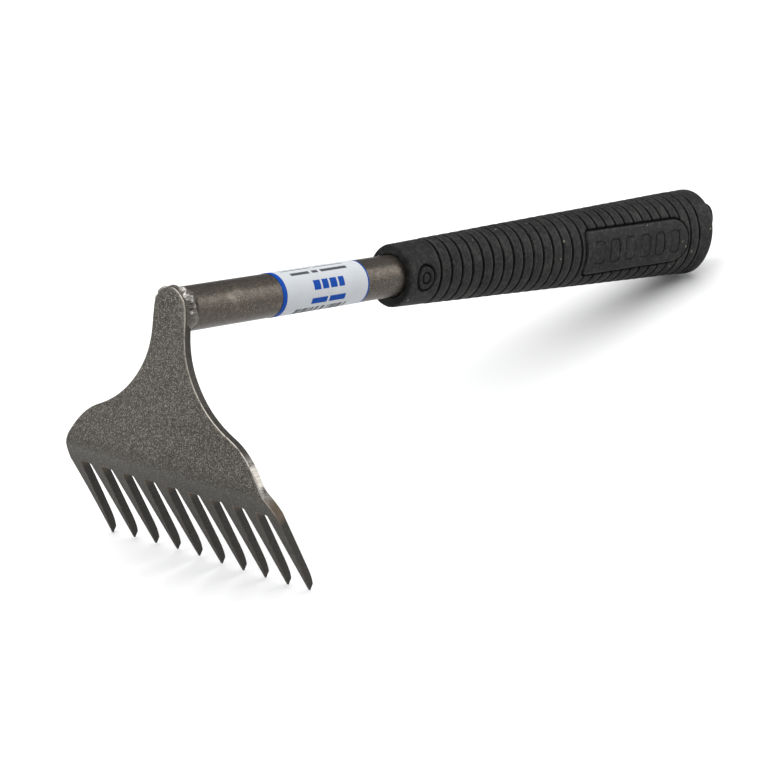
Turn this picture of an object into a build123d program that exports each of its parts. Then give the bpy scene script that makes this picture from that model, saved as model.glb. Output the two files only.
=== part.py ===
from build123d import *
import math
import os

# Hand rake: a ten-tined steel head welded square to a steel tube, with an
# oval rubber grip pushed over the tube.  All lengths are in millimetres.
#
# Everything is drawn in a "tool frame" first:
#   X  along the tube, from the head (X = 0 at the head's back face) to the grip
#   Y  across the tines
#   Z  up, away from the tines, with the tube's axis at Z = 0
# and then tipped about Y into its resting pose on a table, where the tine
# tips and the heel of the grip both touch Z = 0.

# ---------------------------------------------------------------- tube
TUBE_OD = 15.9            # outside diameter, a standard 5/8 in tube
TUBE_WALL = 1.4
GRIP_START = 118.4        # X of the grip's front face
TUBE_END = 305.0          # X of the tube's rear end, inside the grip

# ---------------------------------------------------------------- head
PLATE_T = 3.3             # 3.2 mm plate with its coat
BEND_DEG = 37.4           # how far the tines sweep back
BEND_START_Z = -52.4      # front face leaves the flat here
BEND_OUTER_R = 9.0        # radius of the front face in the bend
N_TINES = 10
TINE_PITCH = 10.46        # at the slot roots
TINE_FAN = 1.0            # tip pitch / root pitch
TINE_LENGTH = 38.5        # tip to slot root, along the front face
TINE_ROOT_W = 5.4
TINE_TIP_W = 1.0
TINE_TIP_BEVEL = 1.2      # how much shorter the back face is than the front
OUTER_ROOT_Y = 49.4       # half width of the head at the slot roots
SHOULDER_Y = [(47.5, 46.15), (48.3, 43.6), (48.9, 41.2)]  # (y, distance up from the tips)
BEND_EDGE_Y0 = 44.9       # half width where the bend starts
BEND_EDGE_Y1 = 47.5       # half width where it ends
# half outline of the flat part, (y, z), from the crown to the bend
CROWN = [(2.3, 8.15), (3.75, 7.2), (5.3, 5.85), (6.55, 4.35), (7.25, 2.2)]
EDGE = [(7.25, 2.2), (7.5, -1.0), (7.6, -4.0), (7.75, -8.0), (8.45, -13.0),
        (9.8, -17.6), (12.1, -22.4), (15.6, -27.5), (19.2, -31.4),
        (23.8, -35.1), (28.5, -37.9), (32.8, -40.0), (36.2, -42.2),
        (39.2, -44.9), (41.9, -48.0), (BEND_EDGE_Y0, BEND_START_Z)]
CROWN_TOP = 8.65

# ---------------------------------------------------------------- weld
WELD_LEG_X = 2.6          # along the tube
WELD_LEG_R = 1.35         # out from the tube

# ---------------------------------------------------------------- grip
GRIP_HALF_H = 12.02       # half height at the front face
GRIP_TAPER = 0.02954      # growth of the half height per mm
GRIP_OVAL = 0.843         # width / height
GRIP_DROOP = 0.00585      # the sleeve's own axis falls this much per mm
GRIP_LEN = 203.8          # front face to rear face, without the hanging tab
GRIP_FRONT_R = 1.0
GRIP_REAR_R = 3.4
GROOVE_N = 28
GROOVE_FIRST = 18.6       # from the front face
GROOVE_PITCH = 6.414
GROOVE_W = 0.9
GROOVE_D = 0.9
PANEL_X0, PANEL_X1 = 111.7, 182.9    # from the front face
PANEL_Z0, PANEL_Z1 = -8.5, 9.2       # from the sleeve's own axis
PANEL_R = 3.0             # corner radius at the front end
PANEL_RISE = 0.35
BADGE_X = 9.6
BADGE_R_OUT, BADGE_R_IN = 5.3, 4.6
BADGE_D = 0.45
TAB_T = 3.2               # hanging tab thickness
TAB_R = 8.6
TAB_CX = 214.1            # centre of its round end, from the front face
TAB_Z = 1.5               # above the tube's axis
HOLE_CX = 214.1
HOLE_R = 4.5

# ---------------------------------------------------------------- label
LABEL_X0, LABEL_X1 = 47.8, 96.4
LABEL_T = 0.15
LABEL_SEAM_DEG = 6.0      # the film's two ends stop short of each other

os.makedirs("parts", exist_ok=True)

R = TUBE_OD / 2
beta = math.radians(BEND_DEG)
sb, cb = math.sin(beta), math.cos(beta)


# ================================================================ rake_head
def mirrored(points):
    return [(-y, z) for y, z in points]


def yz(p, x):
    return (x, p[0], p[1])


front_x = -PLATE_T
right = Spline([yz(p, front_x) for p in EDGE])
left = Spline([yz(p, front_x) for p in mirrored(EDGE)])
crown_r = Polyline([yz(p, front_x) for p in CROWN])
crown_l = Polyline([yz(p, front_x) for p in mirrored(CROWN)])
crown = ThreePointArc(yz(CROWN[0], front_x), (front_x, 0, CROWN_TOP), yz((-CROWN[0][0], CROWN[0][1]), front_x))
foot = Line(yz(EDGE[-1], front_x), yz((-EDGE[-1][0], EDGE[-1][1]), front_x))
flat_face = make_face(Wire.combine([*right.edges(), *crown_r.edges(), *crown.edges(), *crown_l.edges(), *left.edges(), *foot.edges()])[0])
flat = extrude(flat_face, amount=PLATE_T, dir=(1, 0, 0))

# the bend: rectangles in radial planes about the bend axis, lofted together
bend_cx = front_x + BEND_OUTER_R
inner_r = BEND_OUTER_R - PLATE_T
sections = []
N_BEND = 8
for j in range(N_BEND + 1):
    a = beta * j / N_BEND
    f = j / N_BEND
    y = BEND_EDGE_Y0 + (BEND_EDGE_Y1 - BEND_EDGE_Y0) * (1.12 * f - 0.12 * f * f)
    po = (bend_cx - BEND_OUTER_R * math.cos(a), BEND_START_Z - BEND_OUTER_R * math.sin(a))
    pi_ = (bend_cx - inner_r * math.cos(a), BEND_START_Z - inner_r * math.sin(a))
    sections.append(Wire.make_polygon([(po[0], -y, po[1]), (po[0], y, po[1]), (pi_[0], y, pi_[1]), (pi_[0], -y, pi_[1])], close=True))
bend = Solid.make_loft(sections, False)

# the swept-back part: flat again, with the slots that leave the tines.
# its plane starts where the bend's front face ends
bend_end = (bend_cx - BEND_OUTER_R * cb, BEND_START_Z - BEND_OUTER_R * sb)
S_BEND = SHOULDER_Y[0][1]
tip_x = bend_end[0] + S_BEND * sb
tip_z = bend_end[1] - S_BEND * cb
tine_plane = Plane(origin=(tip_x, 0, tip_z), x_dir=(0, 1, 0), z_dir=(cb, 0, sb))


def tine_outline():
    pts = [(BEND_EDGE_Y1, S_BEND)]
    pts += SHOULDER_Y[1:]
    centres = [((N_TINES - 1) / 2 - i) * TINE_PITCH for i in range(N_TINES)]
    for i, c in enumerate(centres):
        tip = c * TINE_FAN
        y_out = c + TINE_ROOT_W / 2
        y_in = c - TINE_ROOT_W / 2
        if i == 0:
            y_out = OUTER_ROOT_Y
        if i == N_TINES - 1:
            y_in = -OUTER_ROOT_Y
        pts += [(y_out, TINE_LENGTH), (tip + TINE_TIP_W / 2, 0), (tip - TINE_TIP_W / 2, 0), (y_in, TINE_LENGTH)]
    pts += [(-y, s) for y, s in reversed(SHOULDER_Y[1:])]
    pts += [(-BEND_EDGE_Y1, S_BEND)]
    return pts


tine_face = make_face(Polyline([tine_plane.from_local_coords((y, s, 0)) for y, s in tine_outline()], close=True))
tines = extrude(tine_face, amount=PLATE_T, dir=(cb, 0, sb))
# tips are sheared back, so that the front face is the longer one
ramp_pts = [(-0.5 * TINE_TIP_BEVEL / PLATE_T, -0.5), (TINE_TIP_BEVEL * 1.3, PLATE_T * 1.3), (-6, PLATE_T * 1.3), (-6, -0.5)]
ramp_face = make_face(Polyline([tine_plane.from_local_coords((-60, s, w)) for s, w in ramp_pts], close=True))
ramp = extrude(ramp_face, amount=120, dir=(0, 1, 0))
tines = tines - ramp
rake_head = flat + bend + tines
rake_head = rake_head.solids()[0] if len(rake_head.solids()) == 1 else rake_head

# ================================================================ shank_tube
tube_plane = Plane.YZ
shank_tube = extrude(tube_plane * (Circle(R) - Circle(R - TUBE_WALL)), amount=TUBE_END)

# ================================================================ weld_bead
# a convex fillet round the tube on the head's back face; at the two sides,
# where the neck is narrower than the tube, it laps round onto the plate's edge
bead_profile = make_face(Polyline([(0, 0, R), (0, 0, R + WELD_LEG_R), (0.9, 0, R + WELD_LEG_R * 0.93), (1.8, 0, R + WELD_LEG_R * 0.62),
                                   (WELD_LEG_X, 0, R)], close=True))
bead = revolve(bead_profile, axis=Axis.X, revolution_arc=360)
lap_profile = make_face(Polyline([(0, 0, R + WELD_LEG_R), (-1.0, 0, R + WELD_LEG_R * 0.6), (-1.7, 0, R - 0.15), (-1.7, 0, R - 0.6), (0, 0, R - 0.6)], close=True))
lap = revolve(lap_profile, axis=Axis.X, revolution_arc=360)
lap = lap & (Pos(-1, 0, -1.0) * Box(6, 40, 10))
weld_bead = (bead + lap) - rake_head - shank_tube
weld_bead = max(weld_bead.solids(), key=lambda s: s.volume)


# ================================================================ grip
def half_h(g):
    return GRIP_HALF_H + GRIP_TAPER * g


def oval(g, grow=0.0):
    """The sleeve's cross-section at g mm from its front face."""
    h = half_h(g) + grow
    w = half_h(g) * GRIP_OVAL + grow
    p = Plane(origin=(GRIP_START + g, 0, -GRIP_DROOP * g), x_dir=(0, 1, 0), z_dir=(1, 0, 0))
    return p * Ellipse(w, h)


def sleeve(g0, g1, grow=0.0):
    return loft([oval(g0, grow), oval(g1, grow)], ruled=True)


body = sleeve(0, GRIP_LEN)
# rounded front and rear rims
ends = body.faces().sort_by(Axis.X)
body = fillet(ends[0].edges(), GRIP_FRONT_R)
ends = body.faces().sort_by(Axis.X)
body = fillet(ends[-1].edges(), GRIP_REAR_R)
plain_body = body

# ring grooves
for k in range(GROOVE_N):
    g = GROOVE_FIRST + k * GROOVE_PITCH
    ring = sleeve(g - GROOVE_W / 2, g + GROOVE_W / 2, 3.0) - sleeve(g - GROOVE_W / 2, g + GROOVE_W / 2, -GROOVE_D)
    body = body - ring

# raised plain panel on the -Y side, square-cornered at the front, round at the rear
pr = (PANEL_Z1 - PANEL_Z0) / 2
zc = (PANEL_Z1 + PANEL_Z0) / 2
panel_sketch = (Pos((PANEL_X0 + PANEL_X1 - pr) / 2, zc) * RectangleRounded(PANEL_X1 - pr - PANEL_X0, 2 * pr, PANEL_R)
                + Pos((PANEL_X0 + PANEL_R + PANEL_X1 - pr) / 2 + PANEL_R / 2, zc) * Rectangle(PANEL_X1 - pr - PANEL_X0 - 2 * PANEL_R, 2 * pr)
                + Pos(PANEL_X1 - pr, zc) * Circle(pr))
mid_droop = GRIP_DROOP * (PANEL_X0 + PANEL_X1) / 2
panel_plane = Plane(origin=(GRIP_START, 0, -mid_droop), x_dir=(1, 0, 0), z_dir=(0, -1, 0))
panel_prism = extrude(panel_plane * panel_sketch, amount=30)
pad = sleeve(PANEL_X0 - 3, PANEL_X1 + 3, PANEL_RISE) & panel_prism
pad = pad - sleeve(PANEL_X0 - 4, PANEL_X1 + 4, -GROOVE_D - 0.6)
body = body + pad

# plain round badge: one ring groove on the collar
badge_plane = Plane(origin=(GRIP_START + BADGE_X, 0, -GRIP_DROOP * BADGE_X), x_dir=(1, 0, 0), z_dir=(0, -1, 0))
badge_ring = extrude(badge_plane * (Circle(BADGE_R_OUT) - Circle(BADGE_R_IN)), amount=30)
badge_ring = badge_ring - sleeve(0.5, BADGE_X + 9, -BADGE_D)
body = body - badge_ring

# hanging tab with its hole
tab_z = TAB_Z
tab_plane = Plane(origin=(GRIP_START, TAB_T / 2, tab_z), x_dir=(1, 0, 0), z_dir=(0, -1, 0))
tab_sketch = Pos(TAB_CX, 0) * Circle(TAB_R) + Pos((TAB_CX + 198) / 2, 0) * Rectangle(TAB_CX - 198, 2 * TAB_R)
tab = extrude(tab_plane * tab_sketch, amount=TAB_T)
tab = chamfer(tab.faces().sort_by(Axis.Y)[0].edges() + tab.faces().sort_by(Axis.Y)[-1].edges(), 0.5)
body = body + tab
body = body - extrude(tab_plane * (Pos(HOLE_CX, 0) * Circle(HOLE_R)), amount=TAB_T)

# blind bore for the tube
bore = extrude(Plane.YZ.offset(GRIP_START - 5) * Circle(R), amount=TUBE_END - GRIP_START + 5)
grip = body - bore
if len(grip.solids()) != 1:
    print("grip solids", [round(s.volume, 3) for s in grip.solids()])
grip = max(grip.solids(), key=lambda s: s.volume)

# ================================================================ label
film = extrude(Plane.YZ.offset(LABEL_X0) * (Circle(R + LABEL_T) - Circle(R)), amount=LABEL_X1 - LABEL_X0)
seam_w = 2 * R * math.radians(LABEL_SEAM_DEG) / 2
seam = Pos((LABEL_X0 + LABEL_X1) / 2, 0, 0) * Rot(-130, 0, 0) * Pos(0, R, 0) * Box(LABEL_X1 - LABEL_X0 + 2, 4, seam_w)
label = film - seam
label = max(label.solids(), key=lambda s: s.volume)

nodes = {"rake_head": rake_head, "shank_tube": shank_tube, "weld_bead": weld_bead, "grip": grip, "label": label}


# ================================================================ resting pose
def lowest(shape, deg):
    return shape.rotate(Axis.Y, deg).bounding_box().min.Z


lo, hi = 5.0, 25.0
for _ in range(22):
    mid = (lo + hi) / 2
    if lowest(tines, mid) < lowest(plain_body, mid):
        lo = mid
    else:
        hi = mid
REST_DEG = round((lo + hi) / 2, 3)

placed = {n: s.rotate(Axis.Y, REST_DEG) for n, s in nodes.items()}
boxes = [s.bounding_box() for s in placed.values()]
lo_x = min(b.min.X for b in boxes)
hi_x = max(b.max.X for b in boxes)
lo_y = min(b.min.Y for b in boxes)
hi_y = max(b.max.Y for b in boxes)
lo_z = min(b.min.Z for b in boxes)
hi_z = max(b.max.Z for b in boxes)
shift = (-(lo_x + hi_x) / 2, -(lo_y + hi_y) / 2, -lo_z)
placed = {n: s.translate(shift) for n, s in placed.items()}

for name, shape in placed.items():
    export_step(shape, f"parts/{name}.step")


def where(x, y, z):
    """A tool-frame point in the resting pose."""
    a = math.radians(REST_DEG)
    return tuple(round(v, 3) for v in (x * math.cos(a) + z * math.sin(a) + shift[0], y + shift[1], -x * math.sin(a) + z * math.cos(a) + shift[2]))


print("rest angle", REST_DEG, "shift", [round(v, 4) for v in shift])
print("size", round(hi_x - lo_x, 2), round(hi_y - lo_y, 2), round(hi_z - lo_z, 2))
print("hang hole", where(GRIP_START + HOLE_CX, 0, tab_z))
print("tip line", where(tip_x, 0, tip_z), "tool frame", round(tip_x, 3), round(tip_z, 3))
print("slot root line", where(tip_x - TINE_LENGTH * sb, 0, tip_z + TINE_LENGTH * cb))
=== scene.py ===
import math
import bpy
import numpy as np
from mathutils import Matrix, Vector
from mathutils.geometry import delaunay_2d_cdt


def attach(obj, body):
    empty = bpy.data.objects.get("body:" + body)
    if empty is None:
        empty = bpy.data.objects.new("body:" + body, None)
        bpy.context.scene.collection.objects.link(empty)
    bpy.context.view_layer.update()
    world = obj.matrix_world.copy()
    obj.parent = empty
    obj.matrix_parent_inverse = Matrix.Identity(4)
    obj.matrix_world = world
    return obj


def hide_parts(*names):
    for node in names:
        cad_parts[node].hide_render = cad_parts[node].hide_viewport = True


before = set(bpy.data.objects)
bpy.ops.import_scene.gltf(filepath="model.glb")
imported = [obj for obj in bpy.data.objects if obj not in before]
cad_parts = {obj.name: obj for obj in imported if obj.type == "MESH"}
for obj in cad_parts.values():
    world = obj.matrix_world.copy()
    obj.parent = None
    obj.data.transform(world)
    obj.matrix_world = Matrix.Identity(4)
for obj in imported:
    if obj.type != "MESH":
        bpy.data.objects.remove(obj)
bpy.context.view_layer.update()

RNG = np.random.default_rng(7)
MM = 0.001

# ------------------------------------------------------------------ placement
# Pieces are built in the tool frame (X along the tube from the head's back
# face, Y across the tines, Z up, millimetres) and then tipped into the
# resting pose, with the same angle and shift as the CAD model.
REST_DEG = 14.451
SHIFT = (-157.1988, 0.0, 98.1711)
PLACE = Matrix.Translation(Vector(SHIFT) * MM) @ Matrix.Rotation(math.radians(REST_DEG), 4, "Y")

# tube
R = 7.95
TUBE_WALL = 1.4
TUBE_END = 305.0
GRIP_START = 118.4
# head
T = 3.3
BETA = math.radians(37.4)
BEND_S = 52.4
BEND_R = 9.0
S_BEND_END = BEND_S + BEND_R * BETA
TINE_PLANE_LEN = 46.15
S_TIP = S_BEND_END + TINE_PLANE_LEN
N_TINES = 10
PITCH = 10.46
TINE_LEN = 38.5
ROOT_W = 5.4
TIP_W = 1.0
TIP_BEVEL = 1.2
OUTER_ROOT_Y = 49.4
SHOULDER = [(47.5, 46.15), (48.3, 43.6), (48.9, 41.2)]
CROWN_TOP = 8.65
CROWN = [(2.3, 8.15), (3.75, 7.2), (5.3, 5.85), (6.55, 4.35), (7.25, 2.2)]
EDGE = [(7.25, 2.2), (7.5, -1.0), (7.6, -4.0), (7.75, -8.0), (8.45, -13.0),
        (9.8, -17.6), (12.1, -22.4), (15.6, -27.5), (19.2, -31.4),
        (23.8, -35.1), (28.5, -37.9), (32.8, -40.0), (36.2, -42.2),
        (39.2, -44.9), (41.9, -48.0), (44.9, -52.4)]
# each tine's tip, off its straight place: sideways, and forward of the tine plane
TINE_DY = [0.10, 0.20, 0.16, 0.16, 0.07, -0.60, -0.43, -0.42, -0.45, 0.47]
TINE_FWD = [1.40, 0.65, 0.30, 0.0, 0.0, 0.25, 0.35, 0.40, 0.45, 0.0]
# grip
HALF_H = 12.02
TAPER = 0.02954
OVAL = 0.843
DROOP = 0.00585
GRIP_LEN = 203.8
FRONT_R = 1.0
REAR_R = 3.4
GROOVE_N = 28
GROOVE_FIRST = 18.6
GROOVE_PITCH = 6.414
PANEL_X0, PANEL_X1 = 111.7, 182.9
PANEL_Z0, PANEL_Z1 = -8.5, 9.2
BADGE_X = 9.6
TAB_T = 3.2
TAB_R = 8.6
TAB_CX = 214.1
TAB_Z = 1.5
HOLE_R = 4.5
# label
LABEL_X0, LABEL_X1 = 47.8, 96.4


# ------------------------------------------------------------------ helpers
def new_object(name, verts, faces, normals=None, smooth=True):
    """A mesh object in the tool frame (verts in mm), placed in the resting pose."""
    me = bpy.data.meshes.new(name)
    v = np.asarray(verts, float) * MM
    me.from_pydata(v.tolist(), [], [list(map(int, f)) for f in faces])
    me.validate(clean_customdata=False)
    me.update()
    if smooth:
        me.polygons.foreach_set("use_smooth", [True] * len(me.polygons))
    if normals is not None:
        me.normals_split_custom_set_from_vertices([tuple(n) for n in np.asarray(normals, float)])
    ob = bpy.data.objects.new(name, me)
    bpy.context.scene.collection.objects.link(ob)
    ob.matrix_world = PLACE
    return ob


def set_attr(ob, name, values):
    """A value per vertex that the materials read."""
    a = ob.data.attributes.new(name, "FLOAT", "POINT")
    a.data.foreach_set("value", np.asarray(values, np.float32))


def natural_spline(pts, n_per=8):
    """Cubic interpolation through the points, by chord length."""
    p = np.asarray(pts, float)
    d = np.r_[0, np.cumsum(np.hypot(*np.diff(p, axis=0).T))]
    n = len(p)
    h = np.diff(d)
    A = np.zeros((n, n)); B = np.zeros((n, 2))
    A[0, 0] = A[-1, -1] = 1
    for i in range(1, n - 1):
        A[i, i - 1] = h[i - 1]; A[i, i] = 2 * (h[i - 1] + h[i]); A[i, i + 1] = h[i]
        B[i] = 6 * ((p[i + 1] - p[i]) / h[i] - (p[i] - p[i - 1]) / h[i - 1])
    M = np.linalg.solve(A, B)
    out = []
    for i in range(n - 1):
        for t in np.linspace(0, 1, n_per, endpoint=False):
            x = t * h[i]
            a = (M[i + 1] - M[i]) / (6 * h[i])
            b = M[i] / 2
            c = (p[i + 1] - p[i]) / h[i] - h[i] * (2 * M[i] + M[i + 1]) / 6
            out.append(p[i] + c * x + b * x * x + a * x ** 3)
    out.append(p[-1])
    return np.array(out)


def round_corner(a, b, c, r, n=5):
    """Points of an arc of radius r that replaces corner b of the path a-b-c."""
    a, b, c = map(lambda q: np.asarray(q, float), (a, b, c))
    u = (a - b) / np.linalg.norm(a - b); v = (c - b) / np.linalg.norm(c - b)
    half = math.acos(float(np.clip(u @ v, -1, 1))) / 2
    if half > math.radians(88):
        return [b]
    d = min(r / math.tan(half), 0.45 * np.linalg.norm(a - b), 0.45 * np.linalg.norm(c - b))
    p0, p1 = b + u * d, b + v * d
    out = []
    for t in np.linspace(0, 1, n):
        out.append((1 - t) ** 2 * p0 + 2 * t * (1 - t) * b + t * t * p1)
    return out


def resample(loop, step):
    """Splits long edges of a closed loop, and keeps its corners."""
    out = []
    n = len(loop)
    for i in range(n):
        a, b = loop[i], loop[(i + 1) % n]
        k = max(1, int(math.ceil(np.linalg.norm(b - a) / step)))
        for j in range(k):
            out.append(a + (b - a) * j / k)
    return np.array(out)


def clean_loop(loop, eps=0.02):
    out = [np.asarray(loop[0], float)]
    for p in loop[1:]:
        if np.linalg.norm(np.asarray(p) - out[-1]) > eps:
            out.append(np.asarray(p, float))
    if np.linalg.norm(out[0] - out[-1]) < eps:
        out.pop()
    return np.array(out)


def loop_normals(loop, outward_sign):
    """Outward in-plane normals of a closed loop, and the mitre factor of each."""
    nxt = np.roll(loop, -1, axis=0); prv = np.roll(loop, 1, axis=0)
    e1 = nxt - loop; e0 = loop - prv
    e1 /= np.linalg.norm(e1, axis=1)[:, None]; e0 /= np.linalg.norm(e0, axis=1)[:, None]
    n1 = np.stack([e1[:, 1], -e1[:, 0]], 1) * outward_sign
    n0 = np.stack([e0[:, 1], -e0[:, 0]], 1) * outward_sign
    n = n0 + n1
    n /= np.maximum(np.linalg.norm(n, axis=1), 1e-9)[:, None]
    mitre = 1 / np.maximum((n * n1).sum(1), 0.6)
    return n, mitre


def signed_area(loop):
    x, y = loop[:, 0], loop[:, 1]
    return 0.5 * float((x * np.roll(y, -1) - np.roll(x, -1) * y).sum())


def rounded_plate(loops, thick, er, mapping, interior, rows=(), er_back=None):
    """A plate with rounded edges from closed 2D loops (the first is the outer one).
    mapping(uv, w) -> (xyz, n_face, tu, tv): the place, the front face's outward normal and the
    two in-plane directions, for developed points uv at depth w below the front face."""
    segs = 3
    verts, norms, faces = [], [], []
    rims = []
    for li, loop in enumerate(loops):
        sign = 1 if signed_area(loop) > 0 else -1
        if li > 0:
            sign = -sign
        n2, mit = loop_normals(loop, sign)
        rims.append((loop, n2, mit))
    ring_defs = []
    for k in range(segs + 1):                      # front quarter round
        a = math.pi / 2 * k / segs
        ring_defs.append((0, a, (0.55, 1.0, 0.9, 0.35)[k], (0.0, 0.0, 0.4, 1.0)[k]))
    for k in range(segs + 1):                      # back quarter round
        a = math.pi / 2 * (1 - k / segs)
        ring_defs.append((1, a, (0.3, 0.8, 0.8, 0.4)[k], (1.0, 0.4, 0.0, 0.0)[k]))
    edge_v, side_v, uv_v = [], [], []
    first_rings, last_rings = [], []
    for loop, n2, mit in rims:
        idx0 = []
        eb = np.full(len(loop), er) if er_back is None else er_back(loop)
        for is_back, a, we, ws in ring_defs:
            e = eb if is_back else np.full(len(loop), er)
            inset = e * (1 - math.sin(a))
            w = thick - e * (1 - math.cos(a)) if is_back else e * (1 - math.cos(a))
            fn, sn = (-math.cos(a) if is_back else math.cos(a)), math.sin(a)
            uv = loop - n2 * (mit * inset)[:, None]
            xyz, nf, tu, tv = mapping(uv, w)
            edge_v.append(np.full(len(uv), we)); side_v.append(np.full(len(uv), ws)); uv_v.append(uv)
            side = tu * n2[:, :1] + tv * n2[:, 1:2]
            side /= np.linalg.norm(side, axis=1)[:, None]
            nn = nf * fn + side * sn
            nn /= np.linalg.norm(nn, axis=1)[:, None]
            start = sum(len(v) for v in verts)
            verts.append(xyz); norms.append(nn)
            idx0.append(np.arange(start, start + len(uv)))
        first_rings.append(idx0[0]); last_rings.append(idx0[-1])
        flip = (signed_area(loop) > 0) == (loop is rims[0][0])
        for a, b in zip(idx0[:-1], idx0[1:]):
            for i in range(len(a)):
                j = (i + 1) % len(a)
                faces.append((a[i], a[j], b[j], b[i]))
    # front and back faces: constrained triangulation with interior points
    inner_loops = [loop - n2 * (mit * er)[:, None] for loop, n2, mit in rims]
    pts, edges = [], []
    for lp in inner_loops:
        s = len(pts)
        pts += [tuple(p) for p in lp]
        edges += [(s + i, s + (i + 1) % len(lp)) for i in range(len(lp))]
    n_rim = len(pts)
    pts += [tuple(p) for p in interior]
    for row in rows:
        s = len(pts)
        pts += [tuple(p) for p in row]
        edges += [(s + i, s + i + 1) for i in range(len(row) - 1)]
    vout, _, fout, vorig, _, _ = delaunay_2d_cdt([Vector(p) for p in pts], edges, [], 0 if len(loops) == 1 else 0, 1e-6)
    vo = np.array([tuple(v) for v in vout])
    tri = [f for f in fout]
    # keep the triangles inside the outer loop and outside the holes
    cen = np.array([vo[list(f)].mean(0) for f in tri])
    keep = inside(cen, inner_loops[0])
    # drop the slivers that the hull makes along straight edges
    e1 = np.array([vo[f[1]] - vo[f[0]] for f in tri])
    e2 = np.array([vo[f[2]] - vo[f[0]] for f in tri])
    keep &= np.abs(e1[:, 0] * e2[:, 1] - e1[:, 1] * e2[:, 0]) > 4e-5
    for hole in inner_loops[1:]:
        keep &= ~inside(cen, hole)
    tri = [f for f, k in zip(tri, keep) if k]
    origin = {}
    for i, src in enumerate(vorig):
        for q in src:
            if q < n_rim:
                origin[i] = q
    rim_front = np.concatenate(first_rings); rim_back = np.concatenate(last_rings)
    for side_i, (w, ring, fsign) in enumerate(((0.0, rim_front, 1), (thick, rim_back, -1))):
        start = sum(len(v) for v in verts)
        uv = vo
        xyz, nf, tu, tv = mapping(uv, np.full(len(uv), w))
        lookup = {}
        add_v, add_n = [], []
        for f in tri:
            for q in f:
                if q in lookup:
                    continue
                if q in origin:
                    lookup[q] = int(ring[origin[q]])
                else:
                    lookup[q] = start + len(add_v)
                    add_v.append(xyz[q]); add_n.append(nf[q] * fsign)
        if add_v:
            verts.append(np.array(add_v)); norms.append(np.array(add_n))
            edge_v.append(np.zeros(len(add_v))); side_v.append(np.zeros(len(add_v)))
            uv_v.append(np.array([vo[q] for q in sorted(lookup, key=lookup.get) if q not in origin]))
        for f in tri:
            g = [lookup[q] for q in f]
            faces.append(tuple(g) if fsign > 0 else tuple(reversed(g)))
    V = np.concatenate(verts); N = np.concatenate(norms)
    # orient every face along its vertex normals
    out = []
    for f in faces:
        f = list(dict.fromkeys(f))
        if len(f) < 3:
            continue
        a, b, c = V[f[0]], V[f[1]], V[f[2]]
        fn = np.cross(b - a, c - a)
        if len(f) == 4:
            fn = fn + np.cross(c - a, V[f[3]] - a)
        if fn @ N[f].sum(0) < 0:
            f = f[::-1]
        out.append(f)
    return V, out, N, np.concatenate(edge_v), np.concatenate(side_v), np.concatenate(uv_v)


def inside(pts, loop):
    x, y = pts[:, 0], pts[:, 1]
    res = np.zeros(len(pts), bool)
    n = len(loop)
    for i in range(n):
        x0, y0 = loop[i]; x1, y1 = loop[(i + 1) % n]
        if y0 == y1:
            continue
        c = (y0 > y) != (y1 > y)
        res ^= c & (x < (x1 - x0) * (y - y0) / (y1 - y0) + x0)
    return res


# ------------------------------------------------------------------ rake head
def head_map(uv, w):
    """(y, s) on the front face and depth w to the tool frame. The bend is about an axis
    behind the plate, so the front face is its outer side."""
    y, s = uv[:, 0], uv[:, 1].copy()
    fade = np.clip((s - (S_TIP - 4)) / 4, 0, 1)
    thin = np.clip((s - (S_TIP - 9)) / 9, 0, 1) ** 2
    s = s - TIP_BEVEL * (w / T) * fade
    w = w * (1 - 0.26 * thin)
    tine = np.clip(np.rint((N_TINES - 1) / 2 - y / PITCH), 0, N_TINES - 1).astype(int)
    down = np.clip((s - (S_TIP - TINE_LEN)) / TINE_LEN, 0, 1.1)
    fwd = np.array(TINE_FWD)[tine] * down ** 1.6
    a = np.clip((s - BEND_S) / BEND_R, 0, BETA)
    rho = BEND_R - w
    x = (-T + BEND_R) - rho * np.cos(a)
    z = -BEND_S - rho * np.sin(a)
    up = np.maximum(BEND_S - s, 0)
    z = z + up
    dn = np.maximum(s - S_BEND_END, 0)
    x = x + dn * math.sin(BETA)
    z = z - dn * math.cos(BETA)
    nf = np.stack([-np.cos(a), 0 * a, -np.sin(a)], 1)
    x = x + nf[:, 0] * fwd
    z = z + nf[:, 2] * fwd
    tu = np.stack([0 * a, 0 * a + 1, 0 * a], 1)
    tv = np.stack([np.sin(a), 0 * a, -np.cos(a)], 1)
    return np.stack([x, y, z], 1), nf, tu, tv


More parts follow.
